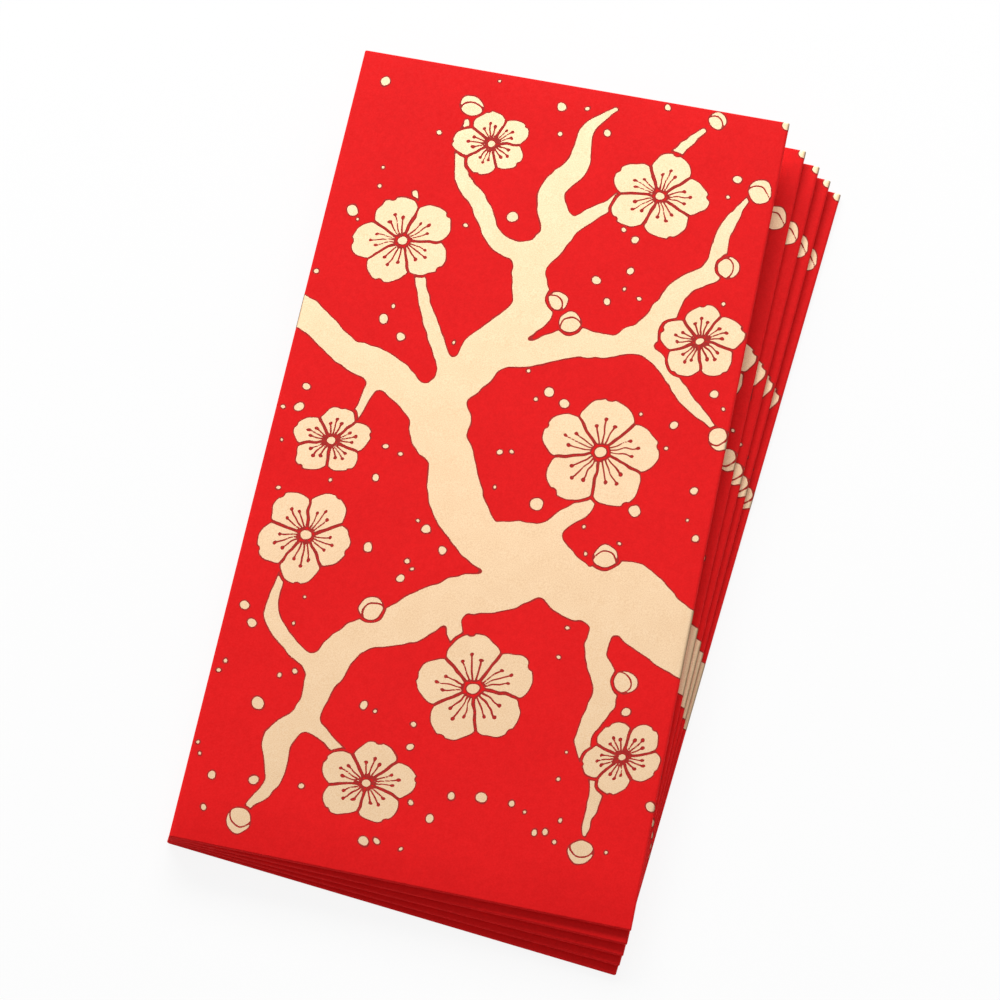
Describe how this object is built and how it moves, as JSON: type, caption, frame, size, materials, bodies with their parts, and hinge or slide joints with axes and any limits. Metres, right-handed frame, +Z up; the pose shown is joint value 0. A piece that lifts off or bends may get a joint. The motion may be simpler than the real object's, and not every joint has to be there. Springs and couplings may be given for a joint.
{
  "type": "red envelope",
  "caption": "Fan of flat red paper envelopes with gold foil fronts, each glued behind and closed by a fold-over top flap, turning about their shared lower corner.",
  "frame": {"origin": "middle of the fan's outline, on the surface that it lies on", "axes": "+Z up from that surface, +Y along the front envelope towards its top fold, +X across to its right"},
  "size_m": [0.1038, 0.1776, 0.0122],
  "materials": {
    "red_paper": "matt, fine grain",
    "glue": "dried film",
    "gold_foil": "pale satin foil"
  },
  "bodies": {
    "envelope_1": {"front_panel_1": "red_paper", "left_back_panel_1": "red_paper", "right_back_panel_1": "red_paper", "bottom_flap_1": "red_paper", "left_fold_1": "red_paper", "right_fold_1": "red_paper", "bottom_fold_1": "red_paper", "seam_glue_1": "glue", "bottom_glue_1": "glue"},
    "flap_1": {"top_flap_1": "red_paper", "top_fold_1": "red_paper"},
    "envelope_2": {"front_panel_2": "red_paper", "left_back_panel_2": "red_paper", "right_back_panel_2": "red_paper", "bottom_flap_2": "red_paper", "left_fold_2": "red_paper", "right_fold_2": "red_paper", "bottom_fold_2": "red_paper", "seam_glue_2": "glue", "bottom_glue_2": "glue"},
    "flap_2": {"top_flap_2": "red_paper", "top_fold_2": "red_paper"},
    "envelope_3": {"front_panel_3": "red_paper", "left_back_panel_3": "red_paper", "right_back_panel_3": "red_paper", "bottom_flap_3": "red_paper", "left_fold_3": "red_paper", "right_fold_3": "red_paper", "bottom_fold_3": "red_paper", "seam_glue_3": "glue", "bottom_glue_3": "glue"},
    "flap_3": {"top_flap_3": "red_paper", "top_fold_3": "red_paper"},
    "envelope_4": {"front_panel_4": "red_paper", "left_back_panel_4": "red_paper", "right_back_panel_4": "red_paper", "bottom_flap_4": "red_paper", "left_fold_4": "red_paper", "right_fold_4": "red_paper", "bottom_fold_4": "red_paper", "seam_glue_4": "glue", "bottom_glue_4": "glue"},
    "flap_4": {"top_flap_4": "red_paper", "top_fold_4": "red_paper"},
    "envelope_5": {"front_panel_5": "red_paper", "left_back_panel_5": "red_paper", "right_back_panel_5": "red_paper", "bottom_flap_5": "red_paper", "left_fold_5": "red_paper", "right_fold_5": "red_paper", "bottom_fold_5": "red_paper", "seam_glue_5": "glue", "bottom_glue_5": "glue"},
    "flap_5": {"top_flap_5": "red_paper", "top_fold_5": "red_paper"}
  },
  "joints": [
    {"name": "flap_crease_5", "type": "hinge", "parent": "envelope_5", "child": "flap_5", "pos_m": [0.00714, 0.0837, 0.00055], "axis": [0.9964, -0.0845, 0], "range_deg": [0, 179], "deforming": ["top_fold_5"]},
    {"name": "fan_swivel_4", "type": "hinge", "parent": "envelope_5", "child": "flap_4", "pos_m": [-0.05177, -0.08127, 0.00114], "axis": [0, 0, 1], "range_deg": [-1, 20]},
    {"name": "flap_crease_4", "type": "hinge", "parent": "flap_4", "child": "envelope_4", "pos_m": [0.00451, 0.08478, 0.00216], "axis": [-0.9977, 0.0671, 0], "range_deg": [0, 20], "deforming": ["top_fold_4"]},
    {"name": "fan_swivel_3", "type": "hinge", "parent": "envelope_4", "child": "flap_3", "pos_m": [-0.05151, -0.08119, 0.00228], "axis": [-0.0002, -0.0028, 1], "range_deg": [-1.05, 20]},
    {"name": "flap_crease_3", "type": "hinge", "parent": "flap_3", "child": "envelope_3", "pos_m": [0.00171, 0.08586, 0.00379], "axis": [-0.9988, 0.0488, -0.0001], "range_deg": [0, 20], "deforming": ["top_fold_3"]},
    {"name": "fan_swivel_2", "type": "hinge", "parent": "envelope_3", "child": "flap_2", "pos_m": [-0.05126, -0.0811, 0.00342], "axis": [-0.0003, -0.0057, 1], "range_deg": [-1.25, 20]},
    {"name": "flap_crease_2", "type": "hinge", "parent": "flap_2", "child": "envelope_2", "pos_m": [-0.00169, 0.08706, 0.00541], "axis": [-0.9996, 0.027, -0.0002], "range_deg": [0, 20], "deforming": ["top_fold_2"]},
    {"name": "fan_swivel_1", "type": "hinge", "parent": "envelope_2", "child": "flap_1", "pos_m": [-0.05101, -0.08102, 0.00454], "axis": [-0.0004, -0.0085, 1], "range_deg": [-1.55, 20]},
    {"name": "flap_crease_1", "type": "hinge", "parent": "flap_1", "child": "envelope_1", "pos_m": [-0.00601, 0.08829, 0.01164], "axis": [-1, 0, -0.0004], "range_deg": [0, 120], "deforming": ["top_fold_1"]}
  ]
}
